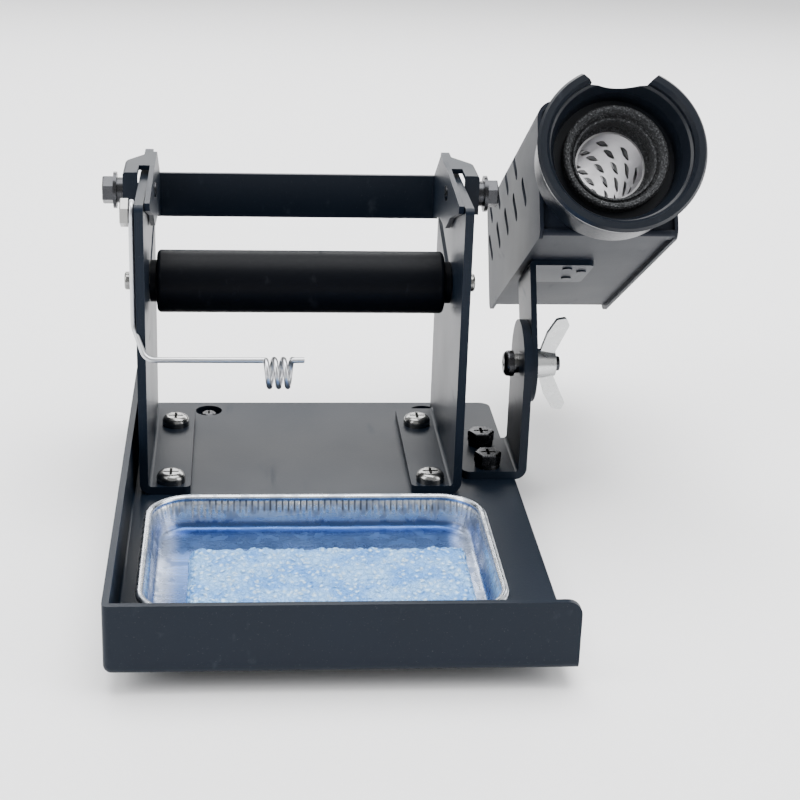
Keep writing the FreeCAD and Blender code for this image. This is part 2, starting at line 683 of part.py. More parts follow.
def make_spindle():
    end_gap = 0.3
    bore_radius = S.axle_radius + 0.08
    start = S.arm_left - S.axle_spare
    length = S.arm_right - S.arm_left + S.axle_spare * 2
    rod = cylinder("AxleRod", S.axle_radius, length, start, axle_y, axle_z, ALONG_X)
    ends = soften("Axle", rod, 0.7, lambda e: lies(e, x=start) or lies(e, x=start + length))
    node("spindle_axle", ends)
    collars = []
    for side, x in (("Left", left_inner + end_gap), ("Right", right_inner - S.collar_long - end_gap)):
        rim = cylinder(f"Collar{side}Rim", S.collar_radius, S.collar_long, x, axle_y, axle_z, ALONG_X)
        bore = cylinder(f"Collar{side}Bore", S.axle_radius, S.collar_long, x, axle_y, axle_z, ALONG_X)
        collars.append(cut(f"Collar{side}", rim, bore))
    node("spindle_collars", group("Collars", collars))
    body = new_body("ReelRoller")
    reach = right_inner - left_inner - (S.collar_long + end_gap * 2) * 2
    profile = outline(sketch_on(body, "Profile", "XZ_Plane"),
                      [(0, bore_radius), (reach, bore_radius),
                       (reach, S.roller_radius), (0, S.roller_radius)])
    turned = body.newObject("PartDesign::Revolution", "Turned")
    turned.Profile = profile
    turned.ReferenceAxis = (origin_part(body, "X_Axis"), [""])
    turned.Angle = 360
    body.Tip = turned
    round_off(body, "RollerEnds", 1.4,
              lambda e: abs(e.BoundBox.ZMax - S.roller_radius.value) < 0.02 and e.BoundBox.XLength < 0.01)
    place(body, left_inner + S.collar_long + end_gap * 2 + to_origin_x, axle_y + to_origin_y, axle_z)
    return node("reel_roller", body)


# ---------------------------------------------------------------- wire guide

def bent_path(points, bend):
    """Straight runs through the points, each corner replaced by a tangent arc."""
    edges = []
    begin = points[0]
    for before, corner, after in zip(points, points[1:], points[2:]):
        into = (before - corner).normalize()
        out = (after - corner).normalize()
        half_turn = into.getAngle(out) / 2
        back_off = bend / math.tan(half_turn)
        enter = corner + into * back_off
        leave = corner + out * back_off
        towards = (into + out).normalize()
        centre = corner + towards * (bend / math.sin(half_turn))
        edges.append(Part.LineSegment(begin, enter).toShape())
        edges.append(Part.Arc(enter, centre - towards * bend, leave).toShape())
        begin = leave
    edges.append(Part.LineSegment(begin, points[-1]).toShape())
    return Part.Wire(edges)


def wire_along(path, radius):
    """A round wire swept along a path, closed at both ends."""
    first = path.OrderedEdges[0]
    at = first.valueAt(first.FirstParameter)
    along = first.tangentAt(first.FirstParameter)
    if path.OrderedVertexes[0].Point.distanceToPoint(at) > 0.01:
        at = first.valueAt(first.LastParameter)
        along = first.tangentAt(first.LastParameter)
    return path.makePipeShell([Part.Wire([Part.makeCircle(radius, at, along)])], True, True)


def make_guide():
    """One bent wire: an eye round its screw, a straight drop, a run in front and an open coil."""
    wire = S.guide_wire.value
    x = (S.arm_left - S.guide_wire - 0.1).value
    eye_y = back(S.guide_screw_setback).value
    eye_z = rise(S.guide_screw_rise).value
    eye = S.guide_eye.value
    run_y = back(S.guide_front_setback).value
    run_z = rise(S.guide_run_rise).value
    coil = S.guide_coil.value
    coil_start = -20.0
    turns = 3
    tail_long = 3.6
    beyond = 2
    loop = Part.makeTorus(eye, wire, Vector(x, eye_y, eye_z), Vector(1, 0, 0))
    open_side = Part.makeBox(beyond * 2, eye + beyond, eye + beyond,
                             Vector(x - beyond, eye_y - eye - beyond, eye_z - eye - beyond))
    loop = loop.cut(open_side)
    stem = [Vector(x, eye_y - eye, eye_z), Vector(x, eye_y - eye, run_z + 9),
            Vector(x + 4, run_y, run_z), Vector(coil_start, run_y, run_z)]
    path = bent_path(stem, 4)
    spring_path = Part.makeHelix(S.guide_pitch.value, S.guide_pitch.value * turns, coil)
    spring_path.rotate(Vector(0, 0, 0), Vector(0, 1, 0), -90)
    spring_path.rotate(Vector(0, 0, 0), Vector(0, 0, 1), 180)
    start = spring_path.Vertexes[0].Point
    spring_path.translate(Vector(coil_start, run_y, run_z) - start)
    spring = wire_along(Part.Wire(spring_path.Edges), wire)
    finish = spring_path.Vertexes[-1].Point
    tail = Part.makeCylinder(wire, tail_long, finish, Vector(1, 0.2, -0.05))
    knuckles = [Part.makeSphere(wire, spot) for spot in (Vector(coil_start, run_y, run_z), finish)]
    thing = doc.addObject("Part::Feature", "WireGuide")
    thing.Shape = wire_along(path, wire).multiFuse([loop, spring, tail] + knuckles)
    node("wire_guide", thing)
    head_x = S.arm_left - S.guide_wire * 2 - 0.2
    y = back(S.guide_screw_setback)
    z = rise(S.guide_screw_rise)
    head_end = head_x - GUIDE_HEAD_TALL
    head = hexagon("GuideHead", S.hex_flats, GUIDE_HEAD_TALL, head_end, y, z, ALONG_X)
    crown = soften("GuideCrown", head, 0.4, lambda e: lies(e, x=head_end))
    stem = cylinder("GuideStem", GUIDE_SHANK, left_inner - head_x, head_x, y, z, ALONG_X)
    node("guide_screw", fuse("GuideScrew", crown, stem))


# ---------------------------------------------------------------- sponge tray and sponge

def rounded_plan(left, right, near, far, corner, z):
    """A closed wire round a rectangle with round corners."""
    wire = Part.makePolygon([Vector(left, near, z), Vector(right, near, z), Vector(right, far, z),
                             Vector(left, far, z), Vector(left, near, z)])
    block = Part.Face(wire).extrude(Vector(0, 0, 1))
    upright = [edge for edge in block.Edges if edge.BoundBox.ZLength > 0.9]
    rounded = block.makeFillet(corner, upright)
    floor = min(rounded.Faces, key=lambda face: face.CenterOfMass.z)
    return floor.OuterWire


TRAY_ABOVE_FLOOR = 0.3


def make_tray():
    left = S.tray_left.value
    right = S.tray_right.value
    near = back(S.tray_front_setback).value
    far = back(S.tray_rear_setback).value
    low = floor_top.value + TRAY_ABOVE_FLOOR
    tall = S.tray_tall.value
    skin = S.tray_sheet.value
    corner = S.tray_corner.value
    lean = 1.6
    outer = Part.makeLoft([rounded_plan(left + lean, right - lean, near + lean, far - lean, corner, low),
                           rounded_plan(left, right, near, far, corner + lean, low + tall)], True)
    inset = skin + lean
    inner = Part.makeLoft([rounded_plan(left + inset, right - inset, near + inset, far - inset,
                                        corner - skin, low + skin),
                           rounded_plan(left + skin, right - skin, near + skin, far - skin,
                                        corner + lean - skin, low + tall + 0.05)], True)
    pan = outer.cut(inner)
    rim = S.tray_rim.value
    out = 0.4
    path = rounded_plan(left - out, right + out, near - out, far + out,
                        corner + lean + out, low + tall - 0.2)
    start = path.Edges[0]
    at = start.valueAt(start.FirstParameter)
    along = start.tangentAt(start.FirstParameter)
    bead = path.makePipeShell([Part.Wire([Part.makeCircle(rim, at, along)])], True, True)
    thing = doc.addObject("Part::Feature", "SpongeTray")
    thing.Shape = pan.fuse(bead).removeSplitter()
    node("sponge_tray", thing)


def make_sponge():
    body = new_body("Sponge")
    low = floor_top + TRAY_ABOVE_FLOOR + S.tray_sheet + 0.2
    near = back(S.sponge_front_setback)
    far = back(S.sponge_rear_setback)
    plan = outline(sketch_on(body, "SpongePlan", "XY_Plane", low),
                   [(S.sponge_left, near), (S.sponge_right, near),
                    (S.sponge_right, far), (S.sponge_left, far)])
    pad(body, "Block", plan, S.sponge_tall)
    round_off(body, "SpongeCorners", 5, lambda e: e.BoundBox.ZLength > 5)
    round_off(body, "SpongeEdges", 1, lambda e: lies(e, z=low + S.sponge_tall))
    return node("sponge", body)


# ---------------------------------------------------------------- holder bracket, pivot and wing nut

def make_bracket():
    """The fixed bracket: a foot on the base and an upright with a round top about the pivot."""
    body = new_body("HolderBracket")
    half = S.bracket_wide / 2
    foot = outline(sketch_on(body, "FootPlan", "XY_Plane", floor_top),
                   [(S.bracket_inner, pivot_y - half), (bracket_outer, pivot_y - half),
                    (bracket_outer, pivot_y + half), (S.bracket_inner, pivot_y + half)])
    pad(body, "Foot", foot, S.bracket_plate)
    side = outline(sketch_on(body, "UprightSide", "YZ_Plane", S.bracket_face),
                   [(pivot_y - half, floor_top), (pivot_y + half, floor_top),
                    (pivot_y + half, pivot_z), (pivot_y - half, pivot_z)])
    pad(body, "Upright", side, S.bracket_plate)
    crown = circle(sketch_on(body, "CrownSide", "YZ_Plane", S.bracket_face), half, pivot_y, pivot_z)
    pad(body, "Crown", crown, S.bracket_plate)
    hole = circle(sketch_on(body, "PivotSide", "YZ_Plane", S.bracket_face),
                  S.bolt_radius + HINGE_HOLE_SPARE, pivot_y, pivot_z)
    pocket(body, "PivotHole", hole, S.bracket_plate, reverse=True)
    screws = sketch_on(body, "ScrewPlan", "XY_Plane", floor_top)
    for x, y in bracket_screw_places():
        circle(screws, S.bolt_radius + FLOOR_HOLE_SPARE, x, y)
    pocket(body, "ScrewHoles", screws, S.bracket_plate, reverse=True)
    round_off(body, "OuterBend", S.arm_bend,
              lambda e: lies(e, x=bracket_outer, z=floor_top) and e.BoundBox.YLength > 20)
    round_off(body, "InnerBend", 1.2, lambda e: lies(e, x=S.bracket_face, z=floor_top + S.bracket_plate))
    round_off(body, "FootCorners", 3,
              lambda e: lies(e, x=S.bracket_inner, y=pivot_y - half)
              or lies(e, x=S.bracket_inner, y=pivot_y + half))
    return node("holder_bracket", body)


def make_pivot():
    spacer_long = 1.6
    spacer_x = S.bracket_face - spacer_long
    head_x = spacer_x - S.pan_tall
    disc = 1.0
    disc_x = tilt_outer + S.tilt_gap
    hub_x = disc_x + disc + S.tilt_gap
    tip = hub_x + S.wing_hub_long + 1.6
    head = cylinder("PivotHead", 4.4, S.pan_tall, head_x, pivot_y, pivot_z, ALONG_X)
    dome = soften("PivotDome", head, 1.8, lambda e: lies(e, x=head_x))
    cross = [box(f"PivotSlot{side}", 1.6, wide, tall, head_x, pivot_y - wide / 2, pivot_z - tall / 2)
             for side, wide, tall in (("A", RECESS_LONG, RECESS_WIDE), ("B", RECESS_WIDE, RECESS_LONG))]
    recessed = cut("PivotRecessed", dome, *cross)
    stem = soften("PivotStemEnd",
                  cylinder("PivotStem", S.bolt_radius, tip - spacer_x, spacer_x, pivot_y, pivot_z, ALONG_X),
                  0.5, lambda e: lies(e, x=tip))
    node("pivot_bolt", fuse("PivotBolt", recessed, stem))
    rings = (("pivot_spacer", spacer_x, 3.3, spacer_long), ("pivot_washer", disc_x, 5.5, disc))
    for label, x, rim, long in rings:
        ring = cylinder(f"{label}_rim", rim, long, x, pivot_y, pivot_z, ALONG_X)
        bore = cylinder(f"{label}_bore", S.bolt_radius + 0.02, long, x, pivot_y, pivot_z, ALONG_X)
        node(label, cut(f"{label}_cut", ring, bore))
    hub = doc.addObject("Part::Cone", "WingHub")
    bind(hub, "Radius1", S.wing_hub)
    bind(hub, "Radius2", S.wing_hub - 1)
    bind(hub, "Height", S.wing_hub_long)
    place(hub, hub_x, pivot_y, pivot_z, *ALONG_X)
    blades = []
    for side, up in (("Up", 1), ("Down", -1)):
        blade = new_body(f"Wing{side}")
        reach = S.wing_span / 2
        face = outline(sketch_on(blade, "WingFace", "XZ_Plane"),
                       [(0.6, up * 2.8), (5.4, up * 2.8), (10.6, up * (reach - 2.5)), (9.4, up * reach),
                        (6.2, up * (reach - 0.6)), (3.2, up * (reach - 5.5))])
        pad(blade, "Blade", face, 2.2, both=True)
        round_off(blade, "BladeTip", 1.0, lambda e: e.BoundBox.YLength > 2 and abs(e.BoundBox.Center.z) > 9)
        blades.append(place(blade, hub_x, pivot_y, pivot_z))
    solid = fuse("WingSolid", hub, *blades)
    bore = cylinder("WingBore", S.bolt_radius + 0.06, 20, hub_x - 2, pivot_y, pivot_z, ALONG_X)
    node("wing_nut", cut("WingNut", solid, bore))


# ---------------------------------------------------------------- tilting holder
# These bodies are drawn level, from the pivot, and then tilted about it.

def tilt(thing):
    return place(thing, to_origin_x, pivot_y + to_origin_y, pivot_z, X_AXIS, -S.holder_tilt)


BELL_NECK = 19


def make_holder_front():
    """The plate just inside the holder's front edge, with the round hole that holds the bell."""
    body = new_body("HolderFront")
    inner_left = box_left + S.box_sheet
    inner_right = box_left + S.box_wide - S.box_sheet
    low = S.box_drop + S.floor_inset + S.box_sheet
    top = S.box_drop + S.box_tall - S.box_sheet
    set_back = 1.4
    plate = outline(sketch_on(body, "PlateFace", "XZ_Plane", S.box_front - set_back),
                    [(inner_left, low), (inner_right, low), (inner_right, top), (inner_left, top)])
    pad(body, "Plate", plate, S.box_sheet).Reversed = True
    hole = circle(sketch_on(body, "BellHoleFace", "XZ_Plane", 0), BELL_NECK + 0.05, box_middle, axis_up)
    pocket(body, "BellHole", hole, both=True)
    round_off(body, "PlateCorners", S.box_corner - S.box_sheet,
              lambda e: lies(e, z=top, x=inner_left) or lies(e, z=top, x=inner_right))
    tilt(body)
    return node("holder_front", body)


RIVET_PLACES = ((82.5, -8), (88, -4), (84.5, 6))
RIVET_RADIUS = 1.0
RIVET_HEAD_RADIUS = 1.7
RIVET_HEAD_TALL = 0.5


def make_tilt_bracket():
    body = new_body("TiltBracket")
    half = S.tilt_wide / 2
    top = S.box_drop + S.floor_inset
    side = outline(sketch_on(body, "StripSide", "YZ_Plane", tilt_inner),
                   [(-half, 0), (half, 0), (half, top), (-half, top)])
    pad(body, "Strip", side, S.tilt_plate)
    low_round = circle(sketch_on(body, "RoundSide", "YZ_Plane", tilt_inner), half)
    pad(body, "Round", low_round, S.tilt_plate)
    tab = outline(sketch_on(body, "TabPlan", "XY_Plane", top - S.tilt_plate),
                  [(tilt_inner, -half), (tilt_inner + S.tilt_tab, -half),
                   (tilt_inner + S.tilt_tab, half), (tilt_inner, half)])
    pad(body, "Tab", tab, S.tilt_plate)
    hole = circle(sketch_on(body, "PivotSide", "YZ_Plane", tilt_inner), S.bolt_radius + 0.06, 0, 0)
    pocket(body, "PivotHole", hole, S.tilt_plate, reverse=True)
    rivet_holes = sketch_on(body, "RivetPlan", "XY_Plane", top - S.tilt_plate)
    for x, y in RIVET_PLACES:
        circle(rivet_holes, RIVET_RADIUS, x, y)
    pocket(body, "RivetHoles", rivet_holes, S.tilt_plate, reverse=True)
    round_off(body, "Bend", 2, lambda e: lies(e, x=tilt_inner, z=top))
    round_off(body, "TabCorners", 2,
              lambda e: lies(e, x=tilt_inner + S.tilt_tab, y=-half)
              or lies(e, x=tilt_inner + S.tilt_tab, y=half))
    tilt(body)
    return node("tilt_bracket", body)


def make_holder_shell():
    """Left side, top and right side in one folded sheet, with leaning slots in the sides."""
    body = new_body("HolderShell")
    box_front = -S.box_front
    box_rear = box_front + S.box_long
    box_top = S.box_drop + S.box_tall
    box_right = box_left + S.box_wide
    sheet_side = box_left + S.box_sheet
    blank = outline(sketch_on(body, "Blank", "XZ_Plane", -box_front),
                    [(box_left, S.box_drop), (box_right, S.box_drop),
                     (box_right, box_top), (box_left, box_top)])
    pad(body, "Tube", blank, S.box_long).Reversed = True
    round_off(body, "TopBends", S.box_corner,
              lambda e: lies(e, z=box_top) and (lies(e, x=box_left) or lies(e, x=box_right)))
    doc.recompute()
    solid = body.Tip
    hollow = body.newObject("PartDesign::Thickness", "Hollow")
    open_faces = [f"Face{i}" for i, face in enumerate(solid.Shape.Faces, start=1)
                  if lies(face, y=box_front) or lies(face, y=box_rear) or lies(face, z=S.box_drop)]
    hollow.Base = (solid, open_faces)
    hollow.Reversed = True
    bind(hollow, "Value", S.box_sheet)
    body.Tip = hollow
    for number, up, first, count in ((1, 36.5, 48, 4), (2, 22.5, 30, 5)):
        slot = sketch_on(body, f"Perf{number}Side", "YZ_Plane", sheet_side,
                         (box_front + first, S.box_drop + up), 90 - S.perf_lean)
        stadium(slot, S.perf_long, S.perf_wide)
        single = pocket(body, f"Perf{number}", slot, both=True)
        row_of(body, f"PerfRow{number}", single, "Y_Axis", S.perf_pitch * (count - 1), count)
    round_off(body, "LowCorners", 3.5,
              lambda e: (lies(e, z=S.box_drop) and (lies(e, y=box_front) or lies(e, y=box_rear))))
    tilt(body)
    return node("holder_shell", body)


def make_holder_floor():
    body = new_body("HolderFloor")
    box_front = -S.box_front
    inner_left = box_left + S.box_sheet
    inner_right = box_left + S.box_wide - S.box_sheet
    low = S.box_drop + S.floor_inset
    plan = outline(sketch_on(body, "FloorPlan", "XY_Plane", low),
                   [(inner_left, box_front), (inner_right, box_front),
                    (inner_right, box_front + S.box_long - 4), (inner_left, box_front + S.box_long - 4)])
    pad(body, "FloorSheet", plan, S.box_sheet)
    hem = outline(sketch_on(body, "HemPlan", "XY_Plane", low - S.box_sheet * 0.9),
                  [(inner_left, box_front), (inner_right, box_front),
                   (inner_right, box_front + 5), (inner_left, box_front + 5)])
    pad(body, "Hem", hem, S.box_sheet)
    round_off(body, "HemFold", 1.0,
              lambda e: lies(e, y=box_front) and e.BoundBox.XLength > 30)
    tilt(body)
    return node("holder_floor", body)


def make_tab_rivets():
    """Three flat rivets that hold the tab under the holder's floor."""
    under = S.box_drop + S.floor_inset - S.tilt_plate
    rivets = []
    for number, (x, y) in enumerate(RIVET_PLACES, start=1):
        low = under - RIVET_HEAD_TALL
        head = cylinder(f"RivetHead{number}", RIVET_HEAD_RADIUS, RIVET_HEAD_TALL, x, y, low)
        stem = cylinder(f"RivetStem{number}", RIVET_RADIUS, S.tilt_plate + RIVET_HEAD_TALL, x, y, low)
        rivets.append(fuse(f"Rivet{number}", head, stem))
    return node("tab_rivets", tilt(group("Rivets", rivets)))


def on_axis(thing):
    """Puts a turned piece on the holder's axis: its Z runs forwards from the holder's front face."""
    y = pivot_y - S.box_front * cosine(S.holder_tilt) + axis_up * sine(S.holder_tilt)
    z = pivot_z + S.box_front * sine(S.holder_tilt) + axis_up * cosine(S.holder_tilt)
    return place(thing, box_middle + to_origin_x, y + to_origin_y, z, X_AXIS, 90 - S.holder_tilt)


def turned_body(name, profile):
    """A body turned about its own Z from (radius, height) points."""
    body = new_body(name)
    sketch = outline(sketch_on(body, f"{name}Profile", "XZ_Plane"), profile)
    turned = body.newObject("PartDesign::Revolution", f"{name}Turned")
    turned.Profile = sketch
    turned.ReferenceAxis = (origin_part(body, "Z_Axis"), [""])
    turned.Angle = 360
    body.Tip = turned
    return body


def make_bell():
    """The moulded funnel that the iron slides into, with a rest cut in its top."""
    seat = S.ring_radius + 0.05
    body = turned_body("Bell", [
        (BELL_NECK, -12), (BELL_NECK, 0.4), (22.4, 0.4), (24, 2.6), (24.3, 16.6), (25.5, 17.6),
        (25.5, 18.9), (24.8, 19.5), (24.8, 20.3), (26.1, 21), (26.4, 22.8), (25.6, 24), (23.6, 24),
        (22.6, 22.6), (22.6, 20.6), (21.8, 20),
        (20.2, 15.5), (19.4, 9), (seat, 9), (seat, -4), (13.4, -4), (13.4, -12)])
    rest = outline(sketch_on(body, "RestFace", "XY_Plane", 0.4),
                   [(-9, 20.8), (9, 20.8), (13.2, 24.4), (16, 30), (16, 36),
                    (-16, 36), (-16, 30), (-13.2, 24.4)])
    pocket(body, "Rest", rest, 30, reverse=True)
    on_axis(body)
    return node("bell", body)


def make_ring():
    seat = S.ring_radius
    body = turned_body("Ring", [
        (S.sleeve_radius + 0.05, -3.8), (seat, -3.8), (seat, 13.4), (seat - 0.5, 14), (15.1, 14),
        (14.5, 12.6),
        (14.5, 10.4), (13.6, 10.2), (13.2, 11.2), (12.6, 11), (12.6, 4), (S.sleeve_radius + 0.05, 4)])
    on_axis(body)
    return node("insulating_ring", body)


def make_sleeve():
    """A thin perforated tube inside the holder, with a rolled front edge."""
    radius = S.sleeve_radius.value
    skin = S.sleeve_sheet.value
    long = S.sleeve_long.value
    lead = 3.0
    tube = Part.makeCylinder(radius, long, Vector(0, 0, lead - long))
    bore = Part.makeCylinder(radius - skin, long, Vector(0, 0, lead - long))
    slot_long = 6.6
    slot_wide = 2.8
    slot_deep = 4
    slot_lean = 62
    first_row = 11
    row_pitch = 8.4
    rows = 7
    around = 8
    middle = Vector(0, 0, 0)
    slots = []
    for row in range(rows):
        for place_round in range(around):
            turn = 360.0 / around * (place_round + 0.5 * (row % 2))
            corner = Vector(-slot_long / 2, -slot_wide / 2, radius - slot_deep / 2)
            slot = Part.makeBox(slot_long, slot_wide, slot_deep, corner)
            upright = [edge for edge in slot.Edges if edge.BoundBox.ZLength > slot_wide]
            slot = slot.makeFillet(slot_wide / 2 - 0.01, upright)
            slot.rotate(middle, Vector(0, 0, 1), slot_lean)
            slot.rotate(middle, Vector(1, 0, 0), -90)
            slot.rotate(middle, Vector(0, 0, 1), turn)
            slot.translate(Vector(0, 0, lead - first_row - row * row_pitch))
            slots.append(slot)
    thing = doc.addObject("Part::Feature", "InnerSleeve")
    thing.Shape = tube.cut(bore).cut(Part.makeCompound(slots))
    on_axis(thing)
    return node("inner_sleeve", thing)


# ---------------------------------------------------------------- build and write

make_base()
make_feet()
make_arm("left_arm", left_inner, S.arm_left, 1)
make_arm("right_arm", right_inner, S.arm_right, -1)
make_floor_screws()
make_keeper()
make_keeper_fasteners()
make_spindle()
make_guide()
make_tray()
make_sponge()
make_bracket()
make_pivot()
make_tilt_bracket()
make_holder_shell()
make_holder_floor()
make_holder_front()
make_tab_rivets()
make_bell()
make_ring()
make_sleeve()
doc.recompute()

for thing in doc.Objects:
    if "Invalid" in thing.State or "Error" in thing.State:
        raise RuntimeError(f"{thing.Name} ({thing.Label}) did not build: {thing.State}")
for thing in nodes:
    if thing.Shape.isNull() or not thing.Shape.isValid() or not thing.Shape.Solids:
        raise RuntimeError(f"{thing.Label} has no valid solid")

os.makedirs("parts", exist_ok=True)
for thing in nodes:
    thing.Shape.exportStep(f"parts/{thing.Label}.step")
    print(f"{thing.Label}: {len(thing.Shape.Solids)} solid(s), {thing.Shape.Volume:.0f} mm3")
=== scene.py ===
import math

import bmesh
import bpy
from mathutils import Matrix, Vector, noise


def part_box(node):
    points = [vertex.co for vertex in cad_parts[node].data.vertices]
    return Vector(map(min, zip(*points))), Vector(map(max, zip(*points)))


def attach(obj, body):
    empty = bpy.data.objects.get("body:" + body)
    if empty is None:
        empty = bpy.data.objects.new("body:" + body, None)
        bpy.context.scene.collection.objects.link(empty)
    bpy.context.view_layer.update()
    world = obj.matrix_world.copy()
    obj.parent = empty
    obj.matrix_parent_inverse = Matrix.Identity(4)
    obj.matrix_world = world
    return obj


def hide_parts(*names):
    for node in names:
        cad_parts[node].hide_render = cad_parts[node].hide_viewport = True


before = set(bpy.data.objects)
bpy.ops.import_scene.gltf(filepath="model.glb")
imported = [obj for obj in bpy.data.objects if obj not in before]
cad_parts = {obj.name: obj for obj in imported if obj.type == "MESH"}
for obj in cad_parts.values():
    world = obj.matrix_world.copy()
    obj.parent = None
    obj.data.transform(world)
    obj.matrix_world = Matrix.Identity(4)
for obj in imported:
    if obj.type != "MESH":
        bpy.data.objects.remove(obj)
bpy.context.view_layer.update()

MM = 0.001

# Spacing of the fine flutes under the tray's rim, and the size of the sponge's grains in millimetres.
FLUTE_PITCH = 1.9 * MM
SPONGE_GRAIN = 2.1


# ---------------------------------------------------------------- camera

# The viewer stands in front and a little to the left, looking down into the sponge tray.
EYE = Vector((-48.85, -546.9, 254.8)) * MM
HEADING = 0.095
DOWNWARD = 0.373
LEAN = 0.035
FOCAL_LENGTH = 81


def make_camera():
    level_part = math.cos(DOWNWARD)
    ahead = Vector((math.sin(HEADING) * level_part, math.cos(HEADING) * level_part, -math.sin(DOWNWARD)))
    level = Vector((math.cos(HEADING), -math.sin(HEADING), 0))
    upward = level.cross(ahead)
    right = level * math.cos(LEAN) + upward * math.sin(LEAN)
    top = upward * math.cos(LEAN) - level * math.sin(LEAN)
    lens = bpy.data.cameras.new("Camera")
    lens.lens = FOCAL_LENGTH
    lens.sensor_width = 36
    lens.clip_start = 0.02
    lens.clip_end = 20
    camera = bpy.data.objects.new("Camera", lens)
    camera.matrix_world = Matrix((right, top, -ahead)).transposed().to_4x4()
    camera.location = EYE
    bpy.context.scene.collection.objects.link(camera)
    bpy.context.scene.camera = camera


make_camera()


# ---------------------------------------------------------------- shader maths

class Value:
    """A socket that can be added, subtracted and multiplied."""

    def __init__(self, finish, socket):
        self.finish = finish
        self.socket = socket

    def maths(self, operation, *others):
        numbers = [other.socket if isinstance(other, Value) else other for other in others]
        made = self.finish.node("ShaderNodeMath", {"operation": operation}, **{
            str(i): number for i, number in enumerate([self.socket] + numbers)})
        return Value(self.finish, made.outputs[0])

    def __add__(self, other):
        return self.maths("ADD", other)

    def __mul__(self, other):
        return self.maths("MULTIPLY", other)

    def __sub__(self, other):
        return self.maths("SUBTRACT", other)

    def __rsub__(self, other):
        return (self * -1) + other

    def steps(self, low, high):
        """0 below low, 1 above high, smooth between."""
        made = self.finish.node("ShaderNodeMapRange", {"interpolation_type": "SMOOTHSTEP"},
                                Value=self.socket, **{"From Min": low, "From Max": high})
        return Value(self.finish, made.outputs[0])


class Finish:
    """A material built up from values."""

    def __init__(self, name):
        self.material = bpy.data.materials.new(name)
        self.material.use_nodes = True
        self.tree = self.material.node_tree
        self.shader = next(n for n in self.tree.nodes if n.type == "BSDF_PRINCIPLED")
        self.place = self.node("ShaderNodeTexCoord").outputs["Object"]

    def node(self, kind, settings=None, **sockets):
        made = self.tree.nodes.new(kind)
        for key, value in (settings or {}).items():
            setattr(made, key, value)
        for key, value in sockets.items():
            self.plug(value, made.inputs[int(key)] if key.isdigit() else made.inputs[key])
        return made

    def plug(self, value, socket):
        """Links a value to a socket, or gives the socket a plain number or colour."""
        if isinstance(value, Value):
            value = value.socket
        if isinstance(value, bpy.types.NodeSocket):
            self.tree.links.new(value, socket)
        else:
            socket.default_value = value

    def along(self, axis):
        """The place along x, y or z, in metres."""
        return Value(self, self.node("ShaderNodeSeparateXYZ", None, Vector=self.place).outputs[axis])

    def facing(self, axis):
        """How far the surface faces along x, y or z, from -1 to 1."""
        normal = self.node("ShaderNodeNewGeometry").outputs["True Normal"]
        return Value(self, self.node("ShaderNodeSeparateXYZ", None, Vector=normal).outputs[axis])

    def stretched(self, x, y, z):
        """A place whose noise is drawn out along each axis that has a small scale."""
        return self.node("ShaderNodeMapping", None, Vector=self.place, Scale=(x, y, z)).outputs[0]

    def grain(self, size, detail, place=None):
        """Noise whose features are about size millimetres across, from 0 to 1."""
        made = self.node("ShaderNodeTexNoise", None, Vector=place or self.place, Scale=1 / (size * MM),
                         Detail=detail)
        return Value(self, made.outputs[0])

    def cells(self, size, feature="F1"):
        """Distance to the middle or the edge of irregular cells about size millimetres across."""
        made = self.node("ShaderNodeTexVoronoi", {"feature": feature}, Vector=self.place,
                         Scale=1 / (size * MM))
        return Value(self, made.outputs["Distance"])

    def blend(self, mask, first, second):
        """A colour: first where the mask is 0, second where it is 1."""
        made = self.node("ShaderNodeMix", {"data_type": "RGBA"}, **{"0": mask, "6": first, "7": second})
        return made.outputs[2]

    def bump(self, height, depth, strength):
        """Fine relief, depth millimetres deep where the height goes from 0 to 1."""
        made = self.node("ShaderNodeBump", None, Height=height, Strength=strength, Distance=depth * MM)
        self.tree.links.new(made.outputs[0], self.shader.inputs["Normal"])

    def set(self, **sockets):
        for key, value in sockets.items():
            self.plug(value, self.shader.inputs[key.replace("_", " ")])


def shade(r, g, b):
    return (r, g, b, 1)


# ---------------------------------------------------------------- finishes

def powder_coat(name, colour, worn, roughness):
    """Satin powder coat over sheet steel: fine orange peel, faint rubbing marks and dust."""
    coat = Finish(name)
    cloud = coat.grain(28, 3)
    peel = coat.grain(0.9, 2)
    rubbed = coat.grain(5, 4, coat.stretched(1, 0.16, 0.7)).steps(0.62, 0.78)
    dust = coat.grain(0.45, 1).steps(0.70, 0.78)
    tone = coat.blend(cloud, shade(*colour), shade(*(c * 1.35 for c in colour)))
    marked = coat.blend(rubbed * 0.20, tone, shade(*worn))
    coat.bump(peel + dust * 0.3, 0.05, 0.35)
    coat.set(Base_Color=coat.blend(dust * 0.05, marked, shade(0.35, 0.36, 0.38)),
             Roughness=rubbed * 0.10 + cloud * 0.12 + (roughness - 0.06), Metallic=0.0,
             Specular_IOR_Level=0.5, IOR=1.25)
    return coat.material


def plated_steel(name, colour, roughness):
    """Bright nickel or zinc: small tool marks and a slight haze."""
    metal = Finish(name)
    haze = metal.grain(2.2, 3)
    marks = metal.grain(0.5, 3, metal.stretched(0.25, 1, 1))
    tarnish = metal.grain(1.3, 4).steps(0.6, 0.8)
    metal.bump(marks, 0.04, 0.25)
    metal.set(Base_Color=metal.blend(tarnish * 0.4, shade(*colour), shade(*(c * 0.55 for c in colour))),
              Roughness=haze * 0.18 + marks * 0.08 + roughness, Metallic=1.0)
    return metal.material


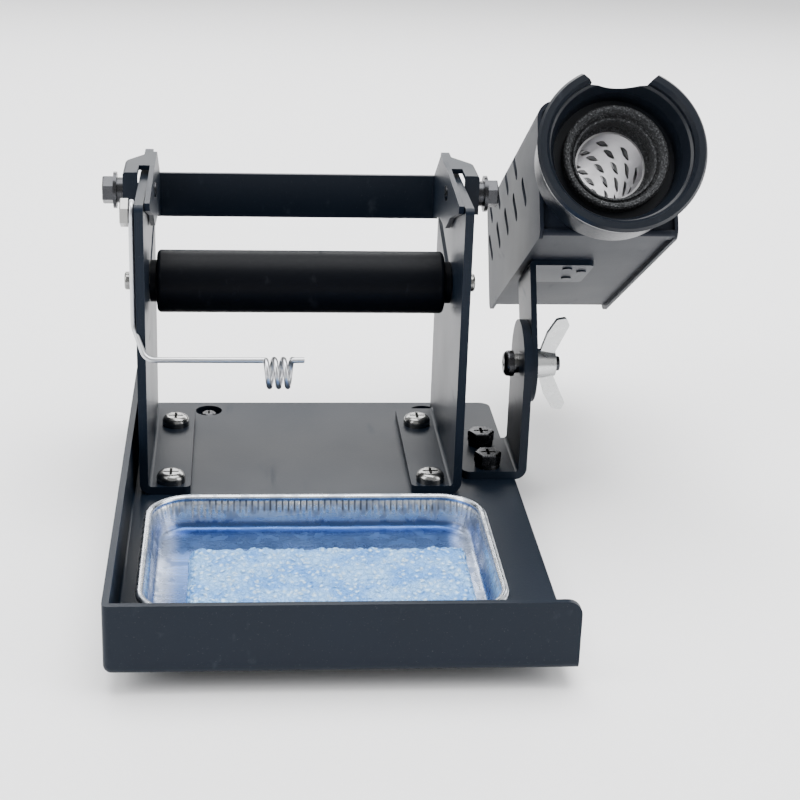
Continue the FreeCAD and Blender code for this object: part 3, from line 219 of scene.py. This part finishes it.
def drawn_metal(name):
    """The tray's thin bright metal: drawing streaks, fine dents and painted shade in the grooves of the
    flutes.

    Low down on the inside it is darker and blue, less so at the tray's two ends.
    """
    low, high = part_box("sponge_tray")
    metal = Finish(name)
    height = metal.along("Z")
    streaks = metal.grain(1.6, 4, metal.stretched(0.12, 0.8, 1))
    dents = metal.grain(7, 2)
    water_marks = metal.grain(4.5, 5).steps(0.52, 0.62)
    inside = metal.facing("Z").steps(-0.02, 0.03)
    middle = (low.x + high.x) / 2
    half = (high.x - low.x) / 2
    ends = (metal.along("X") - middle).maths("ABSOLUTE").steps(half - 12 * MM, half - 5 * MM)
    # Darker and blue low down on the inside, fading out a few millimetres up and weaker at the two ends;
    # damp is the tray's colour with this blue mixed in.
    low_blue_fade = (height + dents * 2 * MM).steps(low.z + 1.5 * MM, low.z + 7.0 * MM)
    low_blue_mask = (1 - low_blue_fade) * inside * (1 - ends * 0.6)
    dry = metal.blend(water_marks * 0.6, shade(0.58, 0.61, 0.65), shade(0.20, 0.23, 0.29))
    damp = metal.blend(low_blue_mask, dry, shade(0.095, 0.20, 0.48))
    # Painted shadow of the sponge: a dark blue band low down along the rear of the tray's floor.
    shadow_line = (height - water_marks * 0.4 * MM).steps(low.z + 2.2 * MM, low.z + 3.4 * MM)
    rear = metal.along("Y").steps(high.y - 9 * MM, high.y - 6 * MM)
    sponge_shadowed = metal.blend((1 - shadow_line) * rear * inside * 0.8, damp, shade(0.02, 0.05, 0.16))
    # Painted shade in the flute grooves: dark lines along the fluted band of the rear wall, in patches,
    # made by the masks below.
    band_foot = height.steps(low.z + 5.2 * MM, low.z + 6.6 * MM)
    band = band_foot * (1 - height.steps(low.z + 9.0 * MM, low.z + 9.8 * MM))
    lines = (metal.along("X") * (math.tau / FLUTE_PITCH)).maths("SINE").steps(0.1, 0.9)
    flutes = metal.along("Y").steps(high.y - 6 * MM, high.y - 4 * MM)
    flute_groove_shade = lines * band * flutes * inside * dents.steps(0.25, 0.55)
    metal.bump(dents + streaks * 0.25, 0.25, 0.3)
    metal.set(Base_Color=metal.blend(flute_groove_shade * 0.85, sponge_shadowed, shade(0.05, 0.055, 0.065)),
              Roughness=streaks * 0.14 + water_marks * 0.12 + flute_groove_shade * 0.3 + 0.20, Metallic=1.0)
    return metal.material


def damp_sponge(name):
    """Open light-blue foam: pale grains with a painted highlight on their tops, and painted shade in the
    creases between them.
    """
    foam = Finish(name)
    edges = foam.cells(SPONGE_GRAIN, "DISTANCE_TO_EDGE")
    centres = foam.cells(SPONGE_GRAIN)
    pores = foam.cells(0.9)
    fine = foam.grain(0.6, 3)
    cloud = foam.grain(9, 2)
    pale = foam.blend(cloud.steps(0.35, 0.65), shade(0.12, 0.36, 0.82), shade(0.28, 0.56, 0.95))
    # Painted highlight: the middle of each grain is lighter, as if lit from above.
    lit = foam.blend(1 - centres.steps(0.12, 0.45), pale, shade(0.52, 0.75, 0.98))
    # Painted shade: the creases along the grain edges are darker.
    crease_shaded = foam.blend(edges.steps(0.0, 0.10) * 0.5 + 0.5, shade(0.03, 0.12, 0.38), lit)
    foam.bump(edges.steps(0.0, 0.35) + fine * 0.25 - pores * 0.2, 0.8, 0.9)
    foam.set(Base_Color=foam.blend(fine.steps(0.60, 0.72) * 0.5, crease_shaded, shade(0.20, 0.38, 0.68)),
             Roughness=fine * 0.2 + 0.72, Metallic=0.0)
    return foam.material


def moulded_plastic(name, colour, roughness, peel_size, shine):
    """Black moulded plastic with a fine even texture and a few scuffs."""
    plastic = Finish(name)
    texture = plastic.grain(peel_size, 2)
    scuffs = plastic.grain(3.5, 5, plastic.stretched(1, 0.3, 0.5)).steps(0.63, 0.75)
    plastic.bump(texture, 0.06, 0.4)
    scuffed = shade(*(c * 2.4 + 0.01 for c in colour))
    plastic.set(Base_Color=plastic.blend(scuffs * 0.3, shade(*colour), scuffed),
                Roughness=texture * 0.16 + scuffs * 0.12 + roughness, Metallic=0.0,
                Specular_IOR_Level=shine, IOR=1.35)
    return plastic.material


def pressed_fibre(name):
    """The grey heat insulator: pressed granules and short fibres."""
    fibre = Finish(name)
    granules = fibre.cells(0.75)
    strands = fibre.grain(0.6, 4, fibre.stretched(1, 0.35, 1))
    fibre.bump(granules * -1 + strands * 0.6, 0.4, 1.0)
    speckled = fibre.blend(granules.steps(0.2, 0.6), shade(0.055, 0.058, 0.062), shade(0.014, 0.015, 0.017))
    fibre.set(Base_Color=fibre.blend(strands.steps(0.60, 0.74), speckled, shade(0.15, 0.155, 0.16)),
              Roughness=strands * 0.15 + 0.75, Metallic=0.0)
    return fibre.material


def studio_floor(name):
    """A pale matt sheet with a very slight tooth."""
    ground = Finish(name)
    tooth = ground.grain(3, 3)
    ground.bump(tooth, 0.02, 0.1)
    ground.set(Base_Color=ground.blend(tooth, shade(0.92, 0.92, 0.93), shade(0.95, 0.95, 0.96)),
               Roughness=tooth * 0.05 + 0.72)
    return ground.material


PAINT = powder_coat("satin_powder_coat", (0.0036, 0.0070, 0.0135), (0.05, 0.06, 0.075), 0.40)
HOLDER_PAINT = powder_coat("holder_powder_coat", (0.0048, 0.0070, 0.0125), (0.06, 0.065, 0.08), 0.50)
NICKEL = plated_steel("bright_nickel", (0.24, 0.24, 0.235), 0.10)
WHITE_ZINC = plated_steel("white_zinc", (0.55, 0.56, 0.56), 0.16)
DARK_STEEL = plated_steel("oiled_steel", (0.05, 0.051, 0.055), 0.14)
SPRING_STEEL = plated_steel("spring_steel", (0.50, 0.51, 0.53), 0.20)
SLEEVE_STEEL = plated_steel("stainless_sleeve", (0.56, 0.555, 0.57), 0.22)
TRAY_METAL = drawn_metal("drawn_tray_metal")
FOAM = damp_sponge("damp_sponge")
BELL_PLASTIC = moulded_plastic("bell_plastic", (0.005, 0.007, 0.011), 0.24, 0.8, 0.42)
ROLLER_PLASTIC = moulded_plastic("roller_plastic", (0.0016, 0.0022, 0.0038), 0.34, 1.4, 0.12)
RUBBER = moulded_plastic("foot_rubber", (0.012, 0.012, 0.012), 0.6, 0.7, 0.3)
FIBRE = pressed_fibre("pressed_fibre")

COATED = ("base_tray", "left_arm", "right_arm", "reel_keeper", "holder_bracket", "tilt_bracket",
          "tab_rivets")
PLATED = ("arm_screws", "floor_nuts", "guide_screw", "pivot_spacer", "pivot_washer", "spindle_axle")
OILED = ("keeper_springs", "keeper_bolts", "keeper_washers", "bracket_bolts", "bracket_spring_washers",
         "pivot_bolt", "foot_screws")


def dress(material, *names):
    for name in names:
        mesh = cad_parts[name].data
        mesh.materials.clear()
        mesh.materials.append(material)


dress(PAINT, *COATED)
dress(HOLDER_PAINT, "holder_shell", "holder_floor", "holder_front")
dress(NICKEL, *PLATED)
dress(DARK_STEEL, *OILED)
dress(WHITE_ZINC, "wing_nut")
dress(SPRING_STEEL, "wire_guide")
dress(SLEEVE_STEEL, "inner_sleeve")
dress(BELL_PLASTIC, "bell")
dress(ROLLER_PLASTIC, "reel_roller", "spindle_collars")
dress(RUBBER, "rubber_feet")
dress(FIBRE, "insulating_ring")


# ---------------------------------------------------------------- mesh helpers

def add_piece(name, mesh, body, slot, material, *stands_for):
    """A visible piece that rides on a body and takes the place of the named nodes."""
    piece = bpy.data.objects.new(name, mesh)
    bpy.context.scene.collection.objects.link(piece)
    mesh.materials.append(material)
    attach(piece, body)
    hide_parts(*stands_for)
    return piece


def apply_modifiers(piece):
    """Bakes the piece's modifiers into its mesh."""
    graph = bpy.context.evaluated_depsgraph_get()
    made = bpy.data.meshes.new_from_object(piece.evaluated_get(graph))
    piece.modifiers.clear()
    piece.data = made


def mesh_from(name, points, faces):
    """A smooth mesh whose faces all look outward."""
    mesh = bpy.data.meshes.new(name)
    mesh.from_pydata(points, [], faces)
    shape = bmesh.new()
    shape.from_mesh(mesh)
    bmesh.ops.recalc_face_normals(shape, faces=shape.faces)
    shape.to_mesh(mesh)
    shape.free()
    mesh.shade_smooth()
    return mesh


def ring_strip(rings):
    """Faces that join closed rings of equal length, one to the next."""
    around = len(rings[0])
    points = [point for ring in rings for point in ring]
    faces = []
    for row in range(len(rings) - 1):
        for i in range(around):
            j = (i + 1) % around
            faces.append((row * around + i, row * around + j,
                          (row + 1) * around + j, (row + 1) * around + i))
    return points, faces


def rounded_loop(low, high, corner, count_side, count_corner):
    """Places round a rectangle with round corners, each with its outward direction."""
    places = []
    centres = ((high.x - corner, low.y + corner, -90), (high.x - corner, high.y - corner, 0),
               (low.x + corner, high.y - corner, 90), (low.x + corner, low.y + corner, 180))
    for which, (x, y, turn) in enumerate(centres):
        for step in range(count_corner + 1):
            angle = math.radians(turn + 90 * step / count_corner)
            out = Vector((math.cos(angle), math.sin(angle)))
            places.append((Vector((x, y)) + out * corner, out))
        following = centres[(which + 1) % 4]
        out = Vector((math.cos(math.radians(turn + 90)), math.sin(math.radians(turn + 90))))
        start = Vector((x, y)) + out * corner
        finish = Vector(following[:2]) + out * corner
        for step in range(1, count_side):
            places.append((start.lerp(finish, step / count_side), out))
    return places


# ---------------------------------------------------------------- sponge tray

TRAY_CORNER = 13 * MM
TRAY_SIDE_STEPS = 260
TRAY_CORNER_STEPS = 30
TRAY_SHEET = 0.35 * MM
RIM_SETBACK = 1.2 * MM
CURL_RADIUS = 1.0 * MM
CURL_SINK = 0.2 * MM
CURL_TURN = 250
CURL_RINGS = 10

# Each row of the tray's wall, from the floor up: how far in from the rim, how high, and how deep the
# flutes are, all in millimetres. Rows at least FLAT_FROM in from the rim have no dents.
TRAY_ROWS = ((12.0, 0.5, 0), (9.0, 0.5, 0), (5.6, 0.5, 0), (4.0, 0.55, 0), (3.0, 0.9, 0), (2.4, 1.7, 0.03),
             (2.0, 3.2, 0), (1.6, 4.8, 0.03), (1.3, 6.4, 0.20), (1.0, 7.8, 0.30), (0.7, 8.9, 0.22),
             (0.4, 9.5, 0))
FLAT_FROM = 9
DENT_HEIGHT = 0.16


def make_tray():
    """A thin drawn tray: a flat floor, leaning walls with fine flutes under the rim, and a rolled rim."""
    low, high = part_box("sponge_tray")
    edge_low = Vector((low.x + RIM_SETBACK, low.y + RIM_SETBACK))
    edge_high = Vector((high.x - RIM_SETBACK, high.y - RIM_SETBACK))
    loop = rounded_loop(edge_low, edge_high, TRAY_CORNER, TRAY_SIDE_STEPS, TRAY_CORNER_STEPS)
    tall = high.z - low.z - RIM_SETBACK
    rings = []
    for inset, height, flute in TRAY_ROWS:
        ring = []
        for spot, out in loop:
            along = spot.x if abs(out.y) > 0.7 else spot.y
            wave = math.sin(along / (FLUTE_PITCH / math.tau))
            patch = 0.7 + 0.6 * noise.noise(Vector((spot.x, spot.y, 0)) / (9 * MM))
            push = flute * wave * patch
            flat = spot - out * (inset - push) * MM
            dent = 0
            if inset < FLAT_FROM:
                dent = noise.noise(Vector((flat.x, flat.y, height * MM)) / (11 * MM)) * DENT_HEIGHT
            ring.append((flat.x, flat.y, low.z + (height + dent) * MM))
        rings.append(ring)
    for step in range(CURL_RINGS):
        angle = math.radians(180 - CURL_TURN * step / (CURL_RINGS - 1))
        outward = math.cos(angle) * CURL_RADIUS + CURL_SINK
        level = low.z + tall + math.sin(angle) * CURL_RADIUS - CURL_SINK
        rings.append([(spot.x + out.x * outward, spot.y + out.y * outward, level) for spot, out in loop])
    points, faces = ring_strip(rings)
    faces.append(tuple(range(len(loop))))
    tray = add_piece("drawn_tray", mesh_from("drawn_tray", points, faces), "tray", "tray_metal",
                     TRAY_METAL, "sponge_tray")
    skin = tray.modifiers.new("skin", "SOLIDIFY")
    skin.thickness = TRAY_SHEET
    skin.offset = 0
    apply_modifiers(tray)


# ---------------------------------------------------------------- sponge

SPONGE_ACROSS = 200
SPONGE_DEEP = 104
SPONGE_TOP_SINK = 0.80 * MM


def make_sponge():
    """A damp pad with a crumbly top, a ragged back edge and soft corners."""
    low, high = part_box("sponge")
    rows = []
    for j in range(SPONGE_DEEP + 1):
        row = []
        for i in range(SPONGE_ACROSS + 1):
            u = i / SPONGE_ACROSS
            v = j / SPONGE_DEEP
            ragged = 0.8 * noise.noise(Vector((u * 14, 3, 0))) + 0.9 * noise.noise(Vector((u * 37, 7, 0)))
            x = low.x + 0.6 * MM + (high.x - low.x - 1.2 * MM) * u
            y = low.y + 0.4 * MM + (high.y - low.y - 2.4 * MM + ragged * 1.6 * MM) * v
            x += 0.5 * MM * noise.noise(Vector((v * 17, 11, 0)))
            near, next_near = noise.voronoi(Vector((x, y, 0)) / (SPONGE_GRAIN * MM))[0][:2]
            grain = min(1, (next_near - near) * 2.2) * 0.75 - 0.45
            lump = noise.noise(Vector((x, y, 5)) / (3.6 * MM)) * 0.42
            edge = min(u * 85, (1 - u) * 85, v * 42, (1 - v) * 42)
            shoulder = 1 - math.exp(-edge / 1.1)
            smooth = (high.z - low.z) * (0.35 + 0.65 * shoulder) - SPONGE_TOP_SINK
            height = smooth + (grain + lump) * MM * shoulder
            row.append((x, y, low.z + height))
        rows.append(row)
    points = [point for row in rows for point in row]
    wide = SPONGE_ACROSS + 1
    faces = [(j * wide + i, j * wide + i + 1, (j + 1) * wide + i + 1, (j + 1) * wide + i)
             for j in range(SPONGE_DEEP) for i in range(SPONGE_ACROSS)]
    front = list(range(wide))
    right = [j * wide + SPONGE_ACROSS for j in range(1, SPONGE_DEEP + 1)]
    back = [SPONGE_DEEP * wide + i for i in range(SPONGE_ACROSS - 1, -1, -1)]
    left = [j * wide for j in range(SPONGE_DEEP - 1, 0, -1)]
    rim = front + right + back + left
    base = len(points)
    points += [(points[i][0], points[i][1], low.z) for i in rim]
    for k, top in enumerate(rim):
        following = (k + 1) % len(rim)
        faces.append((top, base + k, base + following, rim[following]))
    faces.append(tuple(base + k for k in range(len(rim))))
    sponge = add_piece("damp_pad", mesh_from("damp_pad", points, faces), "pad", "sponge_foam",
                       FOAM, "sponge")


make_tray()
make_sponge()


# ---------------------------------------------------------------- studio

FLOOR_DROP = 0.2 * MM
ROOM_STRENGTH = 0.72


def make_floor():
    mesh = bpy.data.meshes.new("studio_floor")
    shape = bmesh.new()
    bmesh.ops.create_grid(shape, x_segments=4, y_segments=4, size=3)
    shape.to_mesh(mesh)
    shape.free()
    mesh.materials.append(studio_floor("pale_floor"))
    ground = bpy.data.objects.new("studio_floor", mesh)
    bpy.context.scene.collection.objects.link(ground)
    ground.location.z = -FLOOR_DROP


def soft_light(name, place, aim, size, watts):
    lamp = bpy.data.lights.new(name, "AREA")
    lamp.shape = "RECTANGLE"
    lamp.size = size[0]
    lamp.size_y = size[1]
    lamp.energy = watts
    lantern = bpy.data.objects.new(name, lamp)
    lantern.location = place
    lantern.rotation_mode = "QUATERNION"
    lantern.rotation_quaternion = (Vector(aim) - Vector(place)).to_track_quat("-Z", "Y")
    bpy.context.scene.collection.objects.link(lantern)


def make_studio():
    make_floor()
    world = bpy.data.worlds.new("soft_room")
    world.use_nodes = True
    background = world.node_tree.nodes["Background"]
    background.inputs["Color"].default_value = shade(1.0, 1.0, 1.0)
    background.inputs["Strength"].default_value = ROOM_STRENGTH
    bpy.context.scene.world = world
    middle = (0, 0, 0.06)
    soft_light("overhead", (0.05, 0.10, 1.1), middle, (1.2, 0.9), 26)
    soft_light("left_window", (-1.0, -0.45, 0.75), middle, (0.7, 0.9), 12)
    soft_light("right_fill", (1.0, -0.35, 0.5), middle, (0.6, 0.8), 8)
    soft_light("back_strip", (0.1, 0.9, 0.5), (0, 0, 0.08), (1.4, 0.3), 8)


make_studio()
